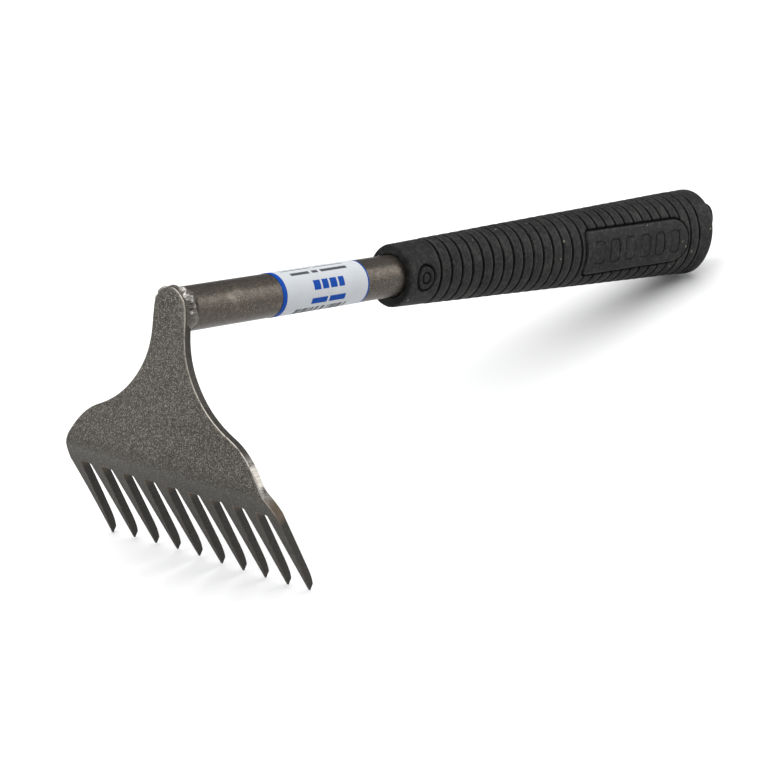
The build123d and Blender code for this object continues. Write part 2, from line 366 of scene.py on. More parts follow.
def head_outline():
    edge = natural_spline([(y, -z) for y, z in EDGE], 7)
    crown = [np.array((y, -z)) for y, z in CROWN[:-1]]
    top = [np.array((q, -(CROWN_TOP - (CROWN_TOP - 8.15) * (q / 2.3) ** 2))) for q in np.linspace(0, 2.3, 4)[:-1]]
    half = top + crown
    half += list(edge)
    # across the bend
    for f in np.linspace(0, 1, 10)[1:]:
        half.append(np.array((44.9 + 2.6 * (1.12 * f - 0.12 * f * f), BEND_S + f * BEND_R * BETA)))
    for y, q in SHOULDER[1:]:
        half.append(np.array((y, S_TIP - q)))
    centres = [((N_TINES - 1) / 2 - i) * PITCH for i in range(N_TINES)]
    root = S_TIP - TINE_LEN
    path = list(half)
    teeth = []
    for i, c in enumerate(centres):
        tip = c + TINE_DY[i]
        yo = OUTER_ROOT_Y if i == 0 else c + ROOT_W / 2
        yi = -OUTER_ROOT_Y if i == N_TINES - 1 else c - ROOT_W / 2
        # no two sheared tips are quite alike
        d = RNG.normal(0, 0.12, 3)
        teeth += [(yo, root + RNG.normal(0, 0.08) * (i > 0)), (tip + TIP_W / 2 + d[0] * 0.3, S_TIP - abs(d[1]) * 0.5), (tip - TIP_W / 2 + d[0] * 0.3, S_TIP - abs(d[2]) * 0.5), (yi, root + RNG.normal(0, 0.08) * (i < N_TINES - 1))]
    path += [np.array(p) for p in teeth]
    left = [np.array((-p[0], p[1])) for p in half[1:]][::-1]
    path += left
    path = clean_loop(path)
    # round the corners: the tooth tips, the slot roots and the shoulders
    out = []
    n = len(path)
    for i in range(n):
        a, b, c = path[i - 1], path[i], path[(i + 1) % n]
        turn = math.degrees(math.acos(float(np.clip(((b - a) @ (c - b)) / (np.linalg.norm(b - a) * np.linalg.norm(c - b)), -1, 1))))
        if turn > 50 and b[1] > S_TIP - 3:
            out += round_corner(a, b, c, 0.42, 4)
        elif turn > 50:
            out += round_corner(a, b, c, 0.7, 5)
        elif turn > 8:
            out += round_corner(a, b, c, 4.0, 6)
        else:
            out.append(b)
    out = clean_loop(out, 0.05)
    out = resample(out, 1.1)
    return out


outline = head_outline()
ER = 0.30
# grid points inside the plate, and straight rows across the bend
grid = []
sgrid = np.arange(-6.5, S_TIP - 3, 2.2)
for j, s in enumerate(sgrid):
    if BEND_S - 1.2 < s < S_BEND_END + 1.2:
        continue
    for y in np.arange(-48.4, 48.5, 2.2):
        grid.append((y + (1.1 if j % 2 else 0), s))
grid = np.array(grid)
near = np.ones(len(grid), bool)
ins = inside(grid, outline)
dmin = np.array([np.hypot(*(outline - g).T).min() for g in grid])
grid = grid[ins & (dmin > np.where(grid[:, 1] < 2, 2.9, 1.0))]
rows = []
for s in np.linspace(BEND_S, S_BEND_END, 15):
    f = (s - BEND_S) / (S_BEND_END - BEND_S)
    yl = 44.9 + 2.6 * (1.12 * f - 0.12 * f * f) - 0.9
    rows.append([(y, s) for y in np.linspace(-yl, yl, 34)])


def crown_back(uv):
    """The weld has melted the back edge of the crown to a large round."""
    return ER + 1.7 * np.clip((3.0 - uv[:, 1]) / 4.0, 0, 1)


V, F, N, E, S, UV = rounded_plate([outline], T, ER, head_map, grid, rows, crown_back)
head = new_object("rake_head_plate", V, F, N)
set_attr(head, "edge", E)
set_attr(head, "side", S)
set_attr(head, "down", UV[:, 1] * 0.01)

# ------------------------------------------------------------------ tube
def lathe(name, profile, seg=128, close=True, wobble=None):
    """Revolves (x, r) points about the tube's axis. The profile is closed."""
    prof = np.asarray(profile, float)
    th = np.linspace(0, 2 * np.pi, seg, endpoint=False)
    n = len(prof)
    V = np.zeros((n, seg, 3))
    for i, (x, r) in enumerate(prof):
        V[i, :, 0] = x; V[i, :, 1] = -r * np.cos(th); V[i, :, 2] = r * np.sin(th)
    V = V.reshape(-1, 3)
    faces = []
    for i in range(n if close else n - 1):
        a, b = i, (i + 1) % n
        for j in range(seg):
            k = (j + 1) % seg
            faces.append((a * seg + j, b * seg + j, b * seg + k, a * seg + k))
    return V, faces


ri = R - TUBE_WALL
tube_prof = [(0.0, ri), (0.0, R)] + [(x, R) for x in np.linspace(4, 122, 30)] + [(TUBE_END - 0.3, R), (TUBE_END, R - 0.3), (TUBE_END, ri)]
V, F = lathe("shank_tube_metal", tube_prof)
tube = new_object("shank_tube_metal", V, F)
# drawn tube is never quite straight or round: a few hundredths of a millimetre
co = np.array([v.co for v in tube.data.vertices])
rr = np.hypot(co[:, 1], co[:, 2])
outer = rr > (R - 0.2) * MM
ang = np.arctan2(co[:, 2], co[:, 1])
dr = (0.02 * np.sin(2 * ang + co[:, 0] * 40) + 0.012 * np.sin(3 * ang - co[:, 0] * 95)) * MM * outer
co[:, 1] += dr * np.cos(ang); co[:, 2] += dr * np.sin(ang)
tube.data.vertices.foreach_set("co", co.ravel())
tube.data.update()

# ------------------------------------------------------------------ weld bead
def weld_mesh():
    nt, npz = 420, 26
    th = np.linspace(-np.pi, np.pi, nt, endpoint=False)
    # the plate's outline, as a radius about the tube's axis
    loop = outline * np.array([1, -1])
    seg0, seg1 = loop, np.roll(loop, -1, axis=0)
    r_edge = np.zeros(nt)
    for i, t in enumerate(th):
        d = np.array([-math.cos(t), math.sin(t)])
        n = np.array([-d[1], d[0]])
        a, b = seg0 @ n, seg1 @ n
        hit = (a * b <= 0) & (a != b)
        q = seg0[hit] + (seg1[hit] - seg0[hit]) * (a[hit] / (a[hit] - b[hit]))[:, None]
        rr = q @ d
        rr = rr[rr > 0]
        r_edge[i] = rr.min() if len(rr) else 60.0
    lapf = np.clip((R + 1.3 - r_edge) / 1.1, 0, 1)
    lapf = lapf * lapf * (3 - 2 * lapf)
    ker = np.hanning(15); ker /= ker.sum()
    lapf = np.convolve(np.r_[lapf[-7:], lapf, lapf[:7]], ker, "valid")
    r_lap = np.minimum(r_edge, R + 1.6)
    rng = np.random.default_rng(21)

    def bumps(k0, k1, amp):
        out = np.zeros(nt)
        for k in range(k0, k1):
            out += rng.normal(0, amp) * np.sin(k * th + rng.random() * 6.28)
        return out
    wave, mid, fine = bumps(2, 6, 0.16), bumps(7, 22, 0.075), bumps(24, 70, 0.022)
    deg = np.degrees(th)
    rough = np.exp(-((deg - 33) / 20.0) ** 2) + 0.55 * np.exp(-((deg - 148) / 24.0) ** 2)
    low_side = 1 / (1 + np.exp((deg - 4) / 5.0)) * (deg > -95) + 1 / (1 + np.exp((176 - deg) / 5.0)) + (deg <= -95)
    blobs = [(math.radians(rng.uniform(4, 72)), rng.uniform(0.12, 0.72), rng.uniform(0.15, 0.62), rng.uniform(0.45, 1.05)) for _ in range(24)]
    blobs += [(math.radians(rng.uniform(112, 176)), rng.uniform(0.12, 0.72), rng.uniform(0.10, 0.40), rng.uniform(0.5, 1.1)) for _ in range(16)]
    fs = np.linspace(0, 1, npz)
    lump = np.zeros((nt, npz))
    for bt, bf, bh, br in blobs:
        d2 = ((th[:, None] - bt) * R) ** 2 + ((fs[None, :] - bf) * 4.6) ** 2
        lump += bh * np.exp(-d2 / br ** 2)
    V = np.zeros((nt, npz + 2, 3)); weld_highlight = np.zeros((nt, npz + 2))
    for i, t in enumerate(th):
        c, s = math.cos(t), math.sin(t)
        leg_x = 1.7 + 1.7 * low_side[i] + 0.45 * wave[i] + 0.5 * mid[i] + 0.5 * rough[i]
        leg_r = 1.25 + 0.25 * wave[i] + 0.2 * mid[i]
        x0 = -2.85 * lapf[i] + 0.02 * (1 - lapf[i])
        r0 = (r_lap[i] - 0.10) * lapf[i] + (R + leg_r) * (1 - lapf[i])
        x1, r1 = leg_x, R - 0.02
        hh = (0.42 + 0.9 * mid[i] + 0.8 * fine[i]) * lapf[i] + (-0.18) * (1 - lapf[i])
        hh += rough[i] * (0.30 + 1.2 * mid[i] + 1.0 * fine[i])
        hh = max(hh, -0.3)
        for j in range(npz):
            f = j / (npz - 1)
            # across the bead: a corner path for the lap, a straight leg for the fillet
            x = x0 + (x1 - x0) * f
            # low down the fillet is hollow and runs out smoothly on the tube
            r = r0 + (r1 - r0) * (f * lapf[i] + (1 - lapf[i]) * (1 - (1 - f) ** 2.2))
            if lapf[i] > 0:
                # hug the melted corner of the crown
                r += lapf[i] * 0.25 * math.sin(math.pi * f)
            nrm_x = (r0 - r1); nrm_r = (x1 - x0)
            q = math.hypot(nrm_x, nrm_r) or 1.0
            ripple = 0.035 * math.sin(th[i] * 46 + 5 * (f - 0.5) ** 2 * 4 + 2 * wave[i])
            bulge = (hh + ripple) * math.sin(math.pi * f) ** 0.75 * (lapf[i] + 0.25 * (1 - lapf[i])) + lump[i, j] * min(1, 6 * f, 5 * (1 - f))
            x += bulge * nrm_x / q
            r += bulge * nrm_r / q
            V[i, j] = (x, -r * c, r * s)
            # the lump tops carry painted highlight, stronger on the taller lumps
            weld_highlight[i, j] = min(1.0, 1.25 * lump[i, j]) * min(1, 8 * f, 5 * (1 - f))
        V[i, npz] = (V[i, npz - 1, 0], -(R - 0.15) * c, (R - 0.15) * s)
        rin = min(R - 0.4, r_lap[i] - 0.6)
        V[i, npz + 1] = (V[i, 0, 0] * 0.98, -rin * c, rin * s)
    faces = []
    m = npz + 2
    for i in range(nt):
        k = (i + 1) % nt
        for j in range(m):
            l = (j + 1) % m
            faces.append((i * m + j, i * m + l, k * m + l, k * m + j))
    return V.reshape(-1, 3), faces, weld_highlight.ravel()


V, F, B = weld_mesh()
weld = new_object("weld_bead_metal", V, F)
set_attr(weld, "weld_highlight", B)

# ------------------------------------------------------------------ label film
def label_mesh():
    nx, nt = 60, 150
    seam = math.radians(-130)
    gap = math.radians(3)
    th = np.linspace(seam + gap, seam + 2 * np.pi - gap, nt)
    xs = np.concatenate([[LABEL_X0], np.linspace(LABEL_X0 + 0.4, LABEL_X1 - 0.4, nx - 2), [LABEL_X1]])
    rng = np.random.default_rng(5)
    t_film = 0.12
    out = np.zeros((nx, nt, 3)); inn = np.zeros((nx, nt, 3))
    for i, x in enumerate(xs):
        for j, t in enumerate(th):
            # the film's edges lie down, with a slight lift at the seam
            end = min(t - th[0], th[-1] - t)
            lift = 0.10 * math.exp(-(end / 0.10) ** 2)
            r0 = R + 0.015
            r1 = r0 + t_film + lift
            yy, zz = -math.cos(t), math.sin(t)
            out[i, j] = (x, r1 * yy, r1 * zz)
            inn[i, j] = (x, r0 * yy, r0 * zz)
    V = np.concatenate([out.reshape(-1, 3), inn.reshape(-1, 3)])
    o = nx * nt
    F = []
    for i in range(nx - 1):
        for j in range(nt - 1):
            a, b, c, d = i * nt + j, (i + 1) * nt + j, (i + 1) * nt + j + 1, i * nt + j + 1
            F.append((a, b, c, d)); F.append((o + a, o + d, o + c, o + b))
    for i in range(nx - 1):
        a, b = i * nt, (i + 1) * nt
        F.append((a, o + a, o + b, b))
        a, b = i * nt + nt - 1, (i + 1) * nt + nt - 1
        F.append((a, b, o + b, o + a))
    for j in range(nt - 1):
        a, b = j, j + 1
        F.append((a, b, o + b, o + a))
        a, b = (nx - 1) * nt + j, (nx - 1) * nt + j + 1
        F.append((a, o + a, o + b, b))
    return V, F


V, F = label_mesh()
label = new_object("label_film_print", V, F, smooth=False)

# ------------------------------------------------------------------ grip
def smooth(a, b, x):
    t = np.clip((x - a) / (b - a), 0, 1)
    return t * t * (3 - 2 * t)


def grip_mesh():
    # rows along the grip, closer together at the grooves
    g = list(np.arange(2.0, GRIP_LEN - REAR_R, 0.8))
    for k in range(GROOVE_N):
        c = GROOVE_FIRST + k * GROOVE_PITCH
        g = [q for q in g if abs(q - c) > 1.1]
        g += [c + d for d in (-1.08, -0.9, -0.79, -0.71, -0.63, -0.55, -0.47, -0.22, 0, 0.22, 0.47, 0.55, 0.63, 0.71, 0.79, 0.9, 1.08)]
    for c in (BADGE_X,):
        g += list(np.arange(c - 6.4, c + 6.5, 0.27))
    g += list(np.arange(PANEL_X0 - 1.5, PANEL_X0 + 2.2, 0.25))
    g += list(np.arange(PANEL_X1 - 9.5, PANEL_X1 + 1.5, 0.35))
    g = np.array(sorted(g))
    keep = [0]
    for i in range(1, len(g)):
        if g[i] - g[keep[-1]] > 0.07:
            keep.append(i)
    g = g[keep]
    g = g[(g > FRONT_R + 0.1) & (g < GRIP_LEN - 4.9)]
    fr = [FRONT_R * (1 - math.cos(a)) for a in np.linspace(0, math.pi / 2, 7)]
    rr_ = [GRIP_LEN - 4.8 * (1 - math.sin(a)) for a in np.linspace(0, math.pi / 2, 16)]
    g = np.array(fr + list(g) + rr_)
    # columns: fine on the side that carries the panel and the badge
    th = np.concatenate([np.radians(np.linspace(-62, 62, 150, endpoint=False)), np.radians(np.linspace(62, 298, 150, endpoint=False))])
    G, TH = np.meshgrid(g, th, indexing="ij")
    hz = HALF_H + TAPER * G
    hy = OVAL * hz
    yy = -hy * np.cos(TH); zz = hz * np.sin(TH)
    ny = -np.cos(TH) / hy; nz = np.sin(TH) / hz
    nl = np.hypot(ny, nz); ny /= nl; nz /= nl
    disp = np.zeros_like(G)
    # rounded front and rear rims
    f = np.clip((FRONT_R - G) / FRONT_R, 0, 1)
    disp -= FRONT_R * (1 - np.sqrt(np.maximum(1 - f * f, 0)))
    # the rear rim is crisper on top and fuller round underneath
    rr = REAR_R + 0.3 - 1.3 * np.maximum(np.sin(TH), 0) + 1.0 * np.maximum(-np.sin(TH), 0)
    f = np.clip((G - (GRIP_LEN - rr)) / rr, 0, 1)
    disp -= rr * (1 - np.sqrt(np.maximum(1 - f * f, 0)))
    # signed distance to the panel's outline, in the side view (positive inside)
    pr = (PANEL_Z1 - PANEL_Z0) / 2; pc = (PANEL_Z1 + PANEL_Z0) / 2
    zl = zz - pc + DROOP * (G - (PANEL_X0 + PANEL_X1) / 2) * -1
    cx1 = PANEL_X1 - pr
    cr = 3.2
    dx = np.maximum(PANEL_X0 + cr - G, 0)
    dz = np.maximum(np.abs(zl) - (pr - cr), 0)
    left_d = cr - np.hypot(dx, dz)
    left_d = np.where((dx <= 0) & (dz <= 0), np.minimum(G - PANEL_X0, pr - np.abs(zl)), np.where(dz <= 0, G - PANEL_X0, left_d))
    right_d = pr - np.hypot(np.maximum(G - cx1, 0), zl)
    sd = np.where(G > cx1, right_d, np.minimum(left_d, pr - np.abs(zl)))
    sd = np.where(np.cos(TH) > 0.2, sd, -50.0)
    # ring grooves, which stop at the panel
    groove = np.zeros_like(G)
    for k in range(GROOVE_N):
        c = GROOVE_FIRST + k * GROOVE_PITCH
        u = np.abs(G - c)
        groove = np.maximum(groove, 1 - smooth(0.48, 0.78, u))
    lip = np.zeros_like(G)
    for k in range(GROOVE_N):
        c = GROOVE_FIRST + k * GROOVE_PITCH
        lip = np.maximum(lip, np.exp(-((np.abs(G - c)) / 1.05) ** 2))
    off_panel = 1 - smooth(-1.0, -0.5, sd)
    disp -= (1.75 * groove + 0.16 * lip) * off_panel
    # each rib is a little crowned
    ph = (G - GROOVE_FIRST) / GROOVE_PITCH
    on = (ph > 0) & (ph < GROOVE_N - 1)
    disp += 0.10 * np.sin(np.pi * (ph % 1)) * on * off_panel
    # cavity_shade marks the grooves, the moat, the pad outlines and the badge for painted shade
    cavity_shade = groove * off_panel
    # rim_dust_sheen marks the groove shoulders and the panel edge for a lighter colour, partly dust and partly painted
    # highlight
    rim_dust_sheen = np.zeros_like(G)
    for k in range(GROOVE_N):
        rim_dust_sheen = np.maximum(rim_dust_sheen, np.exp(-((np.abs(G - GROOVE_FIRST - k * GROOVE_PITCH) - 1.02) / 0.22) ** 2))
    rim_dust_sheen *= off_panel
    # the panel stands proud, with a narrow moat round it
    disp += 0.42 * smooth(-0.15, 0.45, sd)
    moat = np.exp(-((sd + 0.60) / 0.36) ** 2)
    disp -= 1.25 * moat
    cavity_shade = np.maximum(cavity_shade, moat)
    rim_dust_sheen = np.maximum(rim_dust_sheen, np.exp(-((sd - 0.5) / 0.22) ** 2))
    # a row of plain upright sunk pads, each with a crisp outline
    pads = np.full_like(G, -50.0)
    for c in PANEL_X0 + 8.2 + np.arange(6) * 10.6:
        qx = np.abs(G - c) - 1.2
        qz = np.abs(zl) - 2.6
        pads = np.maximum(pads, 2.1 - np.hypot(np.maximum(qx, 0), np.maximum(qz, 0)) - np.minimum(np.maximum(qx, qz), 0) * 0)
    pads = np.where(sd > 0.5, pads, -50.0)
    line = np.exp(-((pads - 0.15) / 0.30) ** 2)
    disp -= 0.42 * line + 0.10 * smooth(0.3, 0.8, pads)
    cavity_shade = np.maximum(cavity_shade, 0.55 * line)
    # plain round badge on the collar: a ring and a dimple
    bz = zz
    rb = np.hypot(G - BADGE_X, bz)
    rb = np.where(np.cos(TH) > 0.2, rb, 99)
    ringg = 1 - smooth(0.30, 0.62, np.abs(rb - 4.95))
    disp -= 0.95 * ringg
    cavity_shade = np.maximum(cavity_shade, 0.9 * ringg)
    dot = 1 - smooth(0.20, 0.50, np.abs(rb - 2.1))
    disp -= 0.5 * dot
    cavity_shade = np.maximum(cavity_shade, 0.75 * dot)
    disp += 0.10 * smooth(2.5, 2.9, rb) * (1 - smooth(3.9, 4.4, rb))
    # the end band is a little fuller low on both sides, and level underneath
    heel = smooth(193.0, 196.0, G) * (1 - smooth(198.0, 203.0, G))
    low = np.exp(-(((np.degrees(TH) + 180) % 360 - 180 + 50) / 24) ** 2) + np.exp(-(((np.degrees(TH) + 360) % 360 - 230) / 24) ** 2)
    disp += 0.75 * heel * low
    # moulding flash line along the top and the underside
    for t0 in (math.pi / 2, -math.pi / 2):
        dth = (TH - t0 + np.pi) % (2 * np.pi) - np.pi
        arc = np.abs(dth) * hy
        disp += 0.06 * np.exp(-(arc / 0.28) ** 2) * (1 - groove)
    # slight unevenness of a rubber moulding
    disp += 0.035 * np.sin(G * 0.11 + 2 * TH) * np.sin(G * 0.047 - TH * 3 + 1.3)
    X = GRIP_START + G
    Y = yy + ny * disp
    Z = zz + nz * disp - DROOP * G
    n, m = G.shape
    # the rims' front and rear rows keep the section's own centre
    verts = [np.stack([X, Y, Z], -1).reshape(-1, 3)]
    faces = []
    for i in range(n - 1):
        a = i * m; b = (i + 1) * m
        for j in range(m):
            k = (j + 1) % m
            faces.append((a + j, b + j, b + k, a + k))
    base = n * m
    # front face, a lead-in chamfer and the bore
    ring_prev = 0
    # directions of the bore's columns match the outer ones by angle
    ang = np.arctan2(verts[0][:m, 2], verts[0][:m, 1])
    def ring(x, r, droop=0.0):
        return np.stack([np.full(m, x), r * np.cos(ang), r * np.sin(ang)], 1)
    fronts = []
    o0 = verts[0][:m]
    inner = ring(GRIP_START - 0.0, R + 0.55)
    for f in (0.35, 0.7):
        fronts.append(o0 * (1 - f) + inner * f + np.array([0.0 + 0.12 * math.sin(math.pi * f), 0, 0]))
    fronts.append(inner)
    fronts.append(ring(GRIP_START + 0.18, R + 0.2))
    fronts.append(ring(GRIP_START + 0.6, R + 0.04))
    fronts.append(ring(GRIP_START + 6.0, R + 0.04))
    fronts.append(ring(TUBE_END + 0.05, R + 0.04))
    idx = [np.arange(m)]
    for rg in fronts:
        idx.append(np.arange(base, base + m)); verts.append(rg); base += m
    for a, b in zip(idx[:-1], idx[1:]):
        for j in range(m):
            k = (j + 1) % m
            faces.append((a[j], a[k], b[k], b[j]))
    verts.append(np.array([[TUBE_END + 0.05, 0, 0]])); cidx = base; base += 1
    for j in range(m):
        k = (j + 1) % m
        faces.append((idx[-1][j], idx[-1][k], cidx))
    # rear face, very slightly domed
    last = verts[0][(n - 1) * m:n * m]
    cen = np.array([GRIP_START + GRIP_LEN, 0, -DROOP * GRIP_LEN])
    prev = np.arange((n - 1) * m, n * m)
    for f in (0.12, 0.3, 0.5, 0.7, 0.88):
        rg = last * (1 - f) + cen * f + np.array([0.5 * (1 - (1 - f) ** 2), 0, 0])
        cur = np.arange(base, base + m); verts.append(rg); base += m
        for j in range(m):
            k = (j + 1) % m
            faces.append((prev[j], cur[j], cur[k], prev[k]))
        prev = cur
    verts.append(np.array([cen + np.array([0.5, 0, 0])])); cidx = base
    for j in range(m):
        k = (j + 1) % m
        faces.append((prev[j], cidx, prev[k]))
    cav_shade = np.zeros(base + 1)
    cav_shade[:n * m] = cavity_shade.ravel()
    rims = np.zeros(base + 1)
    rims[:n * m] = rim_dust_sheen.ravel()
    return np.concatenate(verts), faces, cav_shade, rims


V, F, CAV_SHADE, RIM_DUST_SHEEN = grip_mesh()
grip = new_object("grip_rubber", V, F)
set_attr(grip, "cavity_shade", CAV_SHADE[:len(grip.data.vertices)])
set_attr(grip, "rim_dust_sheen", RIM_DUST_SHEEN[:len(grip.data.vertices)])

# hanging tab: a thin round-ended plate that grows out of the grip's rear face
def tab_map(uv, w):
    g, z = uv[:, 0], uv[:, 1]
    half = np.full(len(g), TAB_T / 2)
    fil = 2.6
    u = np.clip((GRIP_LEN + 0.45 + fil - g) / fil, 0, 1)
    half = half + fil * (1 - np.sqrt(np.maximum(1 - u * u, 0))) * 0.8
    y = -half + 2 * half * (w / TAB_T)
    xyz = np.stack([GRIP_START + g, y, z + TAB_Z], 1)
    one = np.ones(len(g)); zero = 0 * one
    return xyz, np.stack([zero, -one, zero], 1), np.stack([one, zero, zero], 1), np.stack([zero, zero, one], 1)


arc = np.linspace(-math.pi / 2, math.pi / 2, 40)
fl = []
for f in (0.0, 0.5, 0.75, 1.0):
    # the root flares a little where it meets the grip
    fl.append((201.0 + f * 7.5, TAB_R + 1.5 * (1 - f) ** 2.2))
outer_loop = [(g, -z) for g, z in fl] + [(TAB_CX + TAB_R * math.cos(a), TAB_R * math.sin(a)) for a in arc] + [(g, z) for g, z in reversed(fl)]
outer_loop = clean_loop([np.array(p) for p in outer_loop])
soft = []
for i in range(len(outer_loop)):
    p0, p1, p2 = outer_loop[i - 1], outer_loop[i], outer_loop[(i + 1) % len(outer_loop)]
    soft += round_corner(p0, p1, p2, 2.2, 7) if p1[0] < 201.3 else [p1]
outer_loop = resample(clean_loop(soft, 0.05), 0.9)
hole_loop = np.array([(TAB_CX + HOLE_R * math.cos(a), HOLE_R * math.sin(a)) for a in np.linspace(0, 2 * np.pi, 48, endpoint=False)])
tg = np.array([(g, z) for g in np.arange(202.0, 222, 0.9) for z in np.arange(-9.5, 9.6, 1.0)])
ok = inside(tg, outer_loop) & ~inside(tg, hole_loop)
dm = np.array([min(np.hypot(*(outer_loop - p).T).min(), np.hypot(*(hole_loop - p).T).min()) for p in tg])
tg = tg[ok & (dm > 0.95)]
V, F, N, E, S, UV = rounded_plate([outer_loop, hole_loop], TAB_T, 0.5, tab_map, tg)
tab = new_object("hang_tab", V, F)
set_attr(tab, "cavity_shade", np.zeros(len(tab.data.vertices)))
set_attr(tab, "rim_dust_sheen", np.zeros(len(tab.data.vertices)))
bm_mod = grip.modifiers.new("tab", "BOOLEAN")
bm_mod.operation = "UNION"
bm_mod.object = tab
bm_mod.solver = "MANIFOLD" if "MANIFOLD" in [e.identifier for e in bm_mod.bl_rna.properties["solver"].enum_items] else "EXACT"
dg = bpy.context.evaluated_depsgraph_get()
joined = bpy.data.meshes.new_from_object(grip.evaluated_get(dg))
grip.modifiers.clear()
if len(joined.polygons) > len(grip.data.polygons) * 0.8:
    grip.data = joined
    grip.data.name = "grip_rubber"
    grip.data.polygons.foreach_set("use_smooth", [True] * len(grip.data.polygons))
    bpy.data.objects.remove(tab)
else:
    raise RuntimeError("the tab didn't join the grip")


# ------------------------------------------------------------------ materials
def nodes_of(name):
    m = bpy.data.materials.new(name)
    m.use_nodes = True
    nt = m.node_tree
    for n in list(nt.nodes):
        nt.nodes.remove(n)
    out = nt.nodes.new("ShaderNodeOutputMaterial")
    bsdf = nt.nodes.new("ShaderNodeBsdfPrincipled")
    nt.links.new(bsdf.outputs[0], out.inputs[0])
    return m, nt, bsdf


class NT:
    """Short names for the node graph calls."""
    def __init__(self, nt):
        self.nt = nt
        self.tc = nt.nodes.new("ShaderNodeTexCoord")
        self.obj = self.tc.outputs["Object"]

    def link(self, a, b):
        self.nt.links.new(a, b)

    def noise(self, scale, detail=2, rough=0.5, dist=0.0, vec=None):
        n = self.nt.nodes.new("ShaderNodeTexNoise")
        n.inputs["Scale"].default_value = scale
        n.inputs["Detail"].default_value = detail
        n.inputs["Roughness"].default_value = rough
        n.inputs["Distortion"].default_value = dist
        self.link(vec or self.obj, n.inputs["Vector"])
        return n.outputs["Fac"]

    def voronoi(self, scale, feature="F1", out="Distance", rnd=1.0, vec=None):
        n = self.nt.nodes.new("ShaderNodeTexVoronoi")
        n.feature = feature
        n.inputs["Scale"].default_value = scale
        n.inputs["Randomness"].default_value = rnd
        self.link(vec or self.obj, n.inputs["Vector"])
        return n.outputs[out]

    def ramp(self, fac, stops, interp="LINEAR"):
        n = self.nt.nodes.new("ShaderNodeValToRGB")
        n.color_ramp.interpolation = interp
        cr = n.color_ramp
        while len(cr.elements) > 1:
            cr.elements.remove(cr.elements[-1])
        cr.elements[0].position = stops[0][0]
        cr.elements[0].color = self.col(stops[0][1])
        for p, c in stops[1:]:
            e = cr.elements.new(p)
            e.color = self.col(c)
        self.link(fac, n.inputs[0])
        return n.outputs[0]

    @staticmethod
    def col(c):
        if isinstance(c, (int, float)):
            return (c, c, c, 1)
        return (*c, 1) if len(c) == 3 else c

    def math(self, op, a, b=None, c=None, clamp=False):
        n = self.nt.nodes.new("ShaderNodeMath")
        n.operation = op
        n.use_clamp = clamp
        for i, v in enumerate((a, b, c)):
            if v is None:
                continue
            if isinstance(v, (int, float)):
                n.inputs[i].default_value = v
            else:
                self.link(v, n.inputs[i])
        return n.outputs[0]

    def mix(self, fac, a, b, blend="MIX"):
        n = self.nt.nodes.new("ShaderNodeMix")
        n.data_type = "RGBA"
        n.blend_type = blend
        for key, v in (("Factor", fac), ("A", a), ("B", b)):
            if key == "Factor":
                s = [i for i in n.inputs if i.name == "Factor" and i.type == "VALUE"][0]
            else:
                s = [i for i in n.inputs if i.name == key and i.type == "RGBA"][0]
            if isinstance(v, (int, float)) and key == "Factor":
                s.default_value = v
            elif isinstance(v, (int, float, tuple, list)):
                s.default_value = self.col(v)
            else:
                self.link(v, s)
        return [o for o in n.outputs if o.type == "RGBA"][0]

    def xyz(self, vec=None):
        n = self.nt.nodes.new("ShaderNodeSeparateXYZ")
        self.link(vec or self.obj, n.inputs[0])
        return n.outputs[0], n.outputs[1], n.outputs[2]

    def band(self, v, lo, hi, soft):
        """1 between lo and hi, with soft edges."""
        n = self.nt.nodes.new("ShaderNodeMapRange")
        n.interpolation_type = "SMOOTHSTEP"
        n.inputs["From Min"].default_value = lo - soft
        n.inputs["From Max"].default_value = lo + soft
        self.link(v, n.inputs["Value"])
        m = self.nt.nodes.new("ShaderNodeMapRange")
        m.interpolation_type = "SMOOTHSTEP"
        m.inputs["From Min"].default_value = hi - soft
        m.inputs["From Max"].default_value = hi + soft
        m.inputs["To Min"].default_value = 1
        m.inputs["To Max"].default_value = 0
        self.link(v, m.inputs["Value"])
        return self.math("MULTIPLY", n.outputs[0], m.outputs[0])

    def step(self, v, lo, hi, a=0.0, b=1.0):
        n = self.nt.nodes.new("ShaderNodeMapRange")
        n.interpolation_type = "SMOOTHSTEP"
        n.inputs["From Min"].default_value = lo
        n.inputs["From Max"].default_value = hi
        n.inputs["To Min"].default_value = a
        n.inputs["To Max"].default_value = b
        self.link(v, n.inputs["Value"])
        return n.outputs[0]

    def bump(self, height, strength, distance, prev=None):
        n = self.nt.nodes.new("ShaderNodeBump")
        n.inputs["Strength"].default_value = strength
        n.inputs["Distance"].default_value = distance
        self.link(height, n.inputs["Height"])
        if prev is not None:
            self.link(prev, n.inputs["Normal"])
        return n.outputs[0]


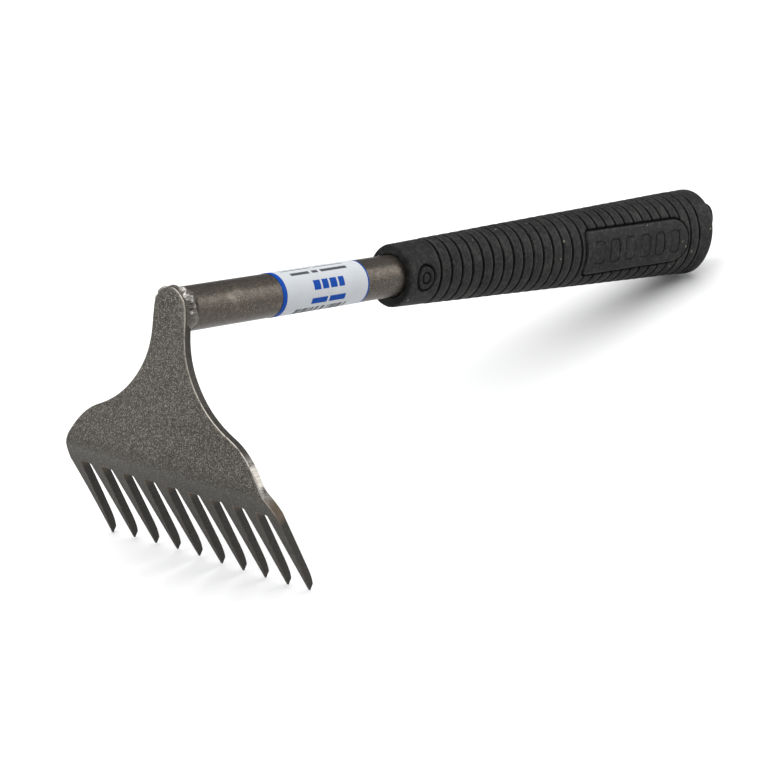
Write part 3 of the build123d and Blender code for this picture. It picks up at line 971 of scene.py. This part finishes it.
def coat_material(name, base, dark, fleck, rough, sparkle=1.0, metallic=0.35, grain=2300):
    """Metallic coat: a dark binder with fine bright flake, slightly pebbled."""
    m, nt, b = nodes_of(name)
    k = NT(nt)
    mott = k.noise(760, 4, 0.65)
    big = k.noise(24, 3, 0.55)
    cells = k.voronoi(grain, out="Color")
    cellv = k.nt.nodes.new("ShaderNodeSeparateColor")
    k.link(cells, cellv.inputs[0])
    fine = k.noise(grain * 0.8, 3, 0.7)
    col = k.ramp(mott, [(0.28, dark), (0.70, base)])
    col = k.mix(k.step(big, 0.35, 0.7, 0.0, 0.30), col, tuple(c * 1.22 for c in base))
    fl = k.math("MULTIPLY", k.step(cellv.outputs[0], 0.55, 1.0), k.step(fine, 0.36, 0.66))
    fl = k.math("MULTIPLY", fl, sparkle)
    col = k.mix(fl, col, fleck)
    pit = k.math("MULTIPLY", k.step(cellv.outputs[1], 0.62, 1.0), 0.50)
    col = k.mix(pit, col, tuple(c * 0.45 for c in dark))
    k.link(col, b.inputs["Base Color"])
    b.inputs["Metallic"].default_value = metallic
    r = k.math("ADD", k.step(fine, 0.2, 0.8, rough - 0.08, rough + 0.08), k.math("MULTIPLY", cellv.outputs[2], 0.08))
    k.link(r, b.inputs["Roughness"])
    h = k.math("ADD", k.math("MULTIPLY", k.noise(1300, 3, 0.6), 0.7), k.math("MULTIPLY", k.voronoi(1500, "SMOOTH_F1"), 0.5))
    nrm = k.bump(h, 0.50, 0.00010)
    nrm = k.bump(k.noise(90, 2, 0.5), 0.10, 0.0003, nrm)
    k.link(nrm, b.inputs["Normal"])
    return m, k, b, col, r, nrm


def attr(k, name):
    n = k.nt.nodes.new("ShaderNodeAttribute")
    n.attribute_type = "GEOMETRY"
    n.attribute_name = name
    return n.outputs["Fac"]


HEAD_BASE = (0.060, 0.0545, 0.0455)
HEAD_DARK = (0.026, 0.0235, 0.0195)
FLECK = (0.33, 0.312, 0.275)
m_head, k, b, col, r, nrm = coat_material("coat_head", HEAD_BASE, HEAD_DARK, FLECK, 0.46, 1.0, 0.25, 3400)
edge = attr(k, "edge"); side = attr(k, "side"); down = k.math("MULTIPLY", attr(k, "down"), 100.0)
x, y, z = k.xyz()
# past the bend the coat is thinner and smoother; its darkening there is painted shade on the faces that turn downward
past_bend_shade = k.step(down, BEND_S - 6.0, S_TIP - TINE_LEN + 4.0)
smooth_shade_col = k.ramp(k.noise(300, 4, 0.6), [(0.3, (0.0235, 0.0205, 0.0170)), (0.7, (0.037, 0.0325, 0.0270))])
col = k.mix(k.math("MULTIPLY", past_bend_shade, 0.78), col, smooth_shade_col)
# soil film toward the tips
tipf = k.math("MULTIPLY", k.step(down, S_TIP - 30, S_TIP), k.step(k.noise(150, 4, 0.65), 0.35, 0.65))
col = k.mix(k.math("MULTIPLY", tipf, 0.35), col, (0.026, 0.022, 0.018))
# sheared side walls are browner and rougher, with marks across the thickness; their dark tone is partly painted shade,
# for walls that face away from the light
scr = k.nt.nodes.new("ShaderNodeMapping")
scr.inputs["Scale"].default_value = (260, 2400, 1500)
k.link(k.obj, scr.inputs["Vector"])
marks = k.noise(1.0, 3, 0.6, 0.0, scr.outputs[0])
wall_shade_col = k.ramp(marks, [(0.35, (0.0130, 0.0108, 0.0088)), (0.62, (0.024, 0.0200, 0.0160)), (0.80, (0.046, 0.038, 0.029))])
col = k.mix(k.math("MULTIPLY", side, 0.75), col, wall_shade_col)
# painted highlight along the edges, drawn as rubbed bare metal, broken; fainter on the tines
edge_highlight_breaks = k.step(k.noise(330, 4, 0.65), 0.30, 0.52)
edge_highlight_amt = k.step(down, S_BEND_END, S_BEND_END + 10.0, 1.0, 0.07)
# the painted highlight is strongest on the -Y side, where the light falls, and faint on the other
edge_highlight_amt = k.math("MULTIPLY", edge_highlight_amt, k.step(y, 0.002, -0.004, 0.18, 1.0))
# line holds this painted edge highlight
line = k.math("MULTIPLY", k.math("MULTIPLY", k.step(edge, 0.35, 0.95), edge_highlight_breaks), edge_highlight_amt)
col = k.mix(k.math("MULTIPLY", line, 0.88), col, (0.50, 0.46, 0.40))
# painted highlight on the side walls through the bend, where the turning edge reflects the light, drawn as bare scuffed
# metal
bend_highlight_zone = k.band(down, BEND_S - 7.5, BEND_S + 7.0, 3.0)
ragged = k.step(k.noise(200, 4, 0.7), 0.27, 0.50)
bend_edge_highlight = k.math("MULTIPLY", k.math("MULTIPLY", bend_highlight_zone, k.step(k.math("ADD", side, edge), 0.45, 0.95)), ragged)
highlight_streak_col = k.ramp(marks, [(0.28, (0.16, 0.145, 0.125)), (0.5, (0.34, 0.32, 0.29)), (0.75, (0.52, 0.50, 0.46))])
col = k.mix(k.math("MULTIPLY", bend_edge_highlight, 0.92), col, highlight_streak_col)
rusty = k.math("MULTIPLY", k.math("MULTIPLY", k.band(down, BEND_S + 6.5, BEND_S + 16.0, 3.0), k.step(k.math("ADD", side, edge), 0.45, 0.95)), 0.55)
col = k.mix(rusty, col, (0.17, 0.125, 0.085))
k.link(col, b.inputs["Base Color"])
met = k.math("ADD", 0.25, k.math("MULTIPLY", k.math("MAXIMUM", bend_edge_highlight, line), 0.55))
k.link(met, b.inputs["Metallic"])
k.link(k.math("SUBTRACT", r, k.math("MULTIPLY", k.math("MAXIMUM", bend_edge_highlight, line), 0.10)), b.inputs["Roughness"])
b.inputs["Specular IOR Level"].default_value = 0.20

m_tube, k, b, col, r, nrm = coat_material("coat_tube", (0.064, 0.0535, 0.0425), (0.036, 0.0298, 0.0232), (0.235, 0.200, 0.158), 0.36, 0.75, 0.80, 3000)
x, y, z = k.xyz()
# smoke and thicker coat next to the weld, fading along the tube
near = k.math("MULTIPLY", k.step(x, 0.016, 0.001), k.step(z, 0.0075, -0.003))
nearn = k.math("MULTIPLY", near, k.step(k.noise(120, 3, 0.6), 0.25, 0.6))
col = k.mix(k.math("MULTIPLY", nearn, 0.65), col, (0.062, 0.056, 0.049))
rub = k.math("MULTIPLY", k.step(k.noise(60, 4, 0.65), 0.60, 0.72), 0.35)
col = k.mix(rub, col, (0.20, 0.175, 0.145))
k.link(col, b.inputs["Base Color"])

m_weld, k, b, col, r, nrm = coat_material("coat_weld", (0.086, 0.076, 0.065), (0.045, 0.040, 0.034), (0.24, 0.22, 0.19), 0.40, 0.5, 0.45)
# painted highlight: bright metal colour on the lump tops
weld_highlight = attr(k, "weld_highlight")
rag = k.step(k.noise(700, 4, 0.65), 0.30, 0.56)
f = k.math("MULTIPLY", k.step(weld_highlight, 0.22, 0.62), rag)
col = k.mix(k.math("MULTIPLY", f, 0.85), col, (0.50, 0.48, 0.44))
k.link(col, b.inputs["Base Color"])
k.link(k.math("ADD", 0.45, k.math("MULTIPLY", f, 0.4)), b.inputs["Metallic"])
k.link(k.math("SUBTRACT", r, k.math("MULTIPLY", f, 0.12)), b.inputs["Roughness"])

# rubber
m_grip, nt, b = nodes_of("rubber_grip")
k = NT(nt)
n1 = k.noise(70, 4, 0.6)
n2 = k.noise(900, 3, 0.6)
col = k.ramp(n1, [(0.3, (0.0035, 0.0036, 0.0042)), (0.7, (0.0085, 0.0086, 0.0092))])
cav_shade = attr(k, "cavity_shade")
dust = k.math("MULTIPLY", k.step(k.noise(140, 5, 0.75), 0.52, 0.70), 0.42)
col = k.mix(dust, col, (0.050, 0.048, 0.041))
sp = k.voronoi(330, out="Color")
spc = k.nt.nodes.new("ShaderNodeSeparateColor"); k.link(sp, spc.inputs[0])
spd = k.voronoi(330)
speck = k.math("MULTIPLY", k.step(spc.outputs[0], 0.955, 0.965), k.step(spd, 0.22, 0.12, 0.0, 1.0))
col = k.mix(k.math("MULTIPLY", speck, 0.7), col, (0.22, 0.20, 0.15))
# lighter groove shoulders and panel edge: partly dust, partly painted highlight
rim_dust_sheen_f = k.math("MULTIPLY", attr(k, "rim_dust_sheen"), k.step(k.noise(240, 4, 0.65), 0.38, 0.66, 0.15, 0.8))
col = k.mix(rim_dust_sheen_f, col, (0.040, 0.0385, 0.034))
blot = k.step(k.noise(620, 4, 0.75), 0.47, 0.64)
col = k.mix(k.math("MULTIPLY", blot, 0.52), col, (0.036, 0.0350, 0.0325))
# painted shade: near black in the grooves, the moat, the pad outlines and the badge
col = k.mix(k.math("MULTIPLY", k.step(cav_shade, 0.10, 0.60), 0.97), col, (0.0010, 0.0010, 0.0011))
k.link(col, b.inputs["Base Color"])
k.link(k.math("ADD", k.step(n2, 0.2, 0.8, 0.56, 0.70), k.math("MULTIPLY", cav_shade, 0.28)), b.inputs["Roughness"])
b.inputs["Specular IOR Level"].default_value = 0.13
nrm = k.bump(n2, 0.35, 0.00008)
nrm = k.bump(k.noise(160, 3, 0.5), 0.25, 0.0002, nrm)
k.link(nrm, b.inputs["Normal"])

# label print: plain bars and stripes only
m_label, nt, b = nodes_of("label_print")
k = NT(nt)
x, y, z = k.xyz()
ax = k.math("MULTIPLY_ADD", x, 1000.0, -LABEL_X0)                       # mm from the front edge
an = k.math("ARCTAN2", z, k.math("MULTIPLY", y, -1.0))
arc_mm = k.math("MULTIPLY", an, R)                                      # mm round the tube, 0 at -Y
WHITE = (0.455, 0.473, 0.490)
BLUE = (0.0010, 0.047, 0.270)
INK = (0.028, 0.030, 0.034)
L = LABEL_X1 - LABEL_X0
tint = k.noise(120, 3, 0.5)
col = k.mix(k.step(tint, 0.3, 0.7, 0.0, 0.3), WHITE, (0.40, 0.420, 0.437))
blue_mask = k.math("MAXIMUM", k.band(ax, -1.0, 2.25, 0.06), k.band(ax, L - 0.75, L + 1.0, 0.05))


def bar(x0, x1, v0, v1, soft=0.07):
    return k.math("MULTIPLY", k.band(ax, x0, x1, soft), k.band(arc_mm, v0, v1, soft))


# two rows of plain blue blocks where a maker would print a name
for q in [(17.4, 21.2, 1.6, 5.2), (22.2, 25.6, 1.6, 5.2), (26.6, 30.4, 1.6, 5.2), (31.4, 34.6, 1.6, 5.2),
          (16.4, 25.2, -3.6, -1.3), (26.4, 35.4, -3.6, -1.3)]:
    blue_mask = k.math("MAXIMUM", blue_mask, bar(*q))
col = k.mix(blue_mask, col, BLUE)
ink = bar(8.4, 18.6, 8.3, 9.7)
for q in [(20.2, 23.4, 8.3, 9.7), (25.0, 39.8, 8.3, 9.7), (6.0, 22.5, 11.6, 12.1), (24.0, 41.0, 11.6, 12.1), (6.0, 33.0, 13.4, 13.9), (8.5, 36.0, 16.2, 16.7)]:
    ink = k.math("MAXIMUM", ink, bar(*q))
# plain upright stripes low on the label
stripe_n = k.nt.nodes.new("ShaderNodeTexNoise")
stripe_n.noise_dimensions = "1D"
stripe_n.inputs["Scale"].default_value = 0.62
stripe_n.inputs["Detail"].default_value = 1.0
k.link(ax, stripe_n.inputs["W"])
stripes = k.math("GREATER_THAN", stripe_n.outputs["Fac"], 0.47)
ink = k.math("MAXIMUM", ink, k.math("MULTIPLY", stripes, bar(9.5, 38.0, -10.2, -5.3)))
col = k.mix(k.math("MULTIPLY", ink, 0.92), col, INK)
k.link(col, b.inputs["Base Color"])
k.link(k.step(k.noise(300, 3, 0.5), 0.3, 0.7, 0.50, 0.60), b.inputs["Roughness"])
b.inputs["Specular IOR Level"].default_value = 0.06
nrm = k.bump(k.noise(180, 3, 0.55), 0.12, 0.0002)
k.link(nrm, b.inputs["Normal"])


def finish_piece(ob, mat, node):
    ob.data.materials.clear()
    ob.data.materials.append(mat)
    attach(ob, "root")
    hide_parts(node)


finish_piece(head, m_head, "rake_head")
finish_piece(tube, m_tube, "shank_tube")
finish_piece(weld, m_weld, "weld_bead")
finish_piece(grip, m_grip, "grip")
finish_piece(label, m_label, "label")

# ------------------------------------------------------------------ floor, light, camera
bpy.ops.mesh.primitive_plane_add(size=6, location=(0, 0, -0.0005))
floor = bpy.context.object
floor.name = "studio_floor"
m_floor, nt, b = nodes_of("studio_floor")
k = NT(nt)
k.link(k.ramp(k.noise(3, 2, 0.5), [(0.3, (0.80, 0.80, 0.80)), (0.7, (0.83, 0.83, 0.83))]), b.inputs["Base Color"])
b.inputs["Roughness"].default_value = 0.8
b.inputs["Specular IOR Level"].default_value = 0.2
floor.data.materials.append(m_floor)

world = bpy.data.worlds.new("studio")
bpy.context.scene.world = world
world.use_nodes = True
bg = world.node_tree.nodes["Background"]
bg.inputs[0].default_value = (0.93, 0.95, 1.0, 1)
bg.inputs[1].default_value = 0.22


def area(name, loc, target, size, power, size_y=None, colour=(1, 1, 1)):
    li = bpy.data.lights.new(name, "AREA")
    li.shape = "RECTANGLE"
    li.size = size
    li.size_y = size_y or size
    li.energy = power
    li.color = colour
    ob = bpy.data.objects.new(name, li)
    bpy.context.scene.collection.objects.link(ob)
    ob.location = loc
    d = Vector(target) - Vector(loc)
    ob.rotation_euler = d.to_track_quat("-Z", "Y").to_euler()
    return ob


# camera: the fitted viewpoint, in the tool frame, tipped with the tool
CAM = Vector((-754.97, -677.69, 211.11))
RIGHT = Vector((0.6225088502, -0.7789310549, 0.0758231039))
DOWN = Vector((-0.1299512531, -0.1984196426, -0.9714640072))
FWD = Vector((0.7717482771, 0.5948916348, -0.2247410502))
rot = Matrix((RIGHT, -DOWN, -FWD)).transposed().to_4x4()
cam_data = bpy.data.cameras.new("photo_camera")
cam_data.sensor_width = 36.0
cam_data.sensor_fit = "HORIZONTAL"
cam_data.lens = 36.0 * 2994.664 / 780.0
cam_data.clip_start = 0.05
cam_data.clip_end = 50
cam = bpy.data.objects.new("photo_camera", cam_data)
bpy.context.scene.collection.objects.link(cam)
cam.matrix_world = PLACE @ (Matrix.Translation(CAM * MM) @ rot)
bpy.context.scene.camera = cam

cm = cam.matrix_world
c_right = cm.to_3x3() @ Vector((1, 0, 0)); c_up = cm.to_3x3() @ Vector((0, 1, 0)); c_back = cm.to_3x3() @ Vector((0, 0, 1))
area("top", (0.05, 0.05, 1.7), (0, 0, 0), 3.0, 70)
area("left", (-1.0, 0.70, 0.45), (-0.1, 0, 0.05), 0.8, 6.0)
area("right_back", (1.10, -0.85, 0.18), (0, 0, 0.08), 0.7, 3.0, 0.35)
area("behind", (1.20, -0.55, 0.50), (0, 0, 0.08), 0.7, 5.0, 0.4)
area("camera_fill", c_back * 1.2 + c_up * 0.5, (0, 0, 0.05), 0.8, 2.0)

bpy.context.scene.view_settings.view_transform = "Standard"
bpy.context.scene.view_settings.look = "None"
